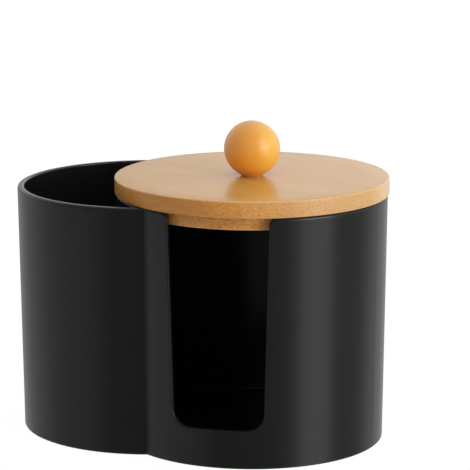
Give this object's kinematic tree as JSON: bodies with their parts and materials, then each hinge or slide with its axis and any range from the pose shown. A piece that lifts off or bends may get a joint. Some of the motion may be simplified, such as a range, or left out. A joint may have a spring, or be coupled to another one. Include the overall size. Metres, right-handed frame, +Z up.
{
  "type": "cotton swab holder",
  "caption": "Moulded double cup with a front window slot, a crescent swab compartment and a lift-off round bamboo lid with a ball knob.",
  "frame": {"origin": "on the surface that the holder stands on, at the middle of the whole object's plan", "axes": "+X along the two cups, from the swab cup to the pad cup; the window slot faces -Y; +Z up"},
  "size_m": [0.1005, 0.0716, 0.0838],
  "materials": {
    "black_plastic": "satin moulded",
    "bamboo": "satin clear lacquer over bamboo",
    "knob_wood": "honey lacquer",
    "screw_steel": "zinc plated"
  },
  "bodies": {
    "holder": {"holder_body": "black_plastic"},
    "lid": {"lid_disc": "bamboo", "lid_plug": "bamboo", "ball_knob": "knob_wood", "knob_screw": "screw_steel"}
  },
  "joints": [
    {"name": "lid_lift", "type": "slide", "parent": "holder", "child": "lid", "axis": [0, 0, 1], "range_m": [0, 0.09]}
  ]
}
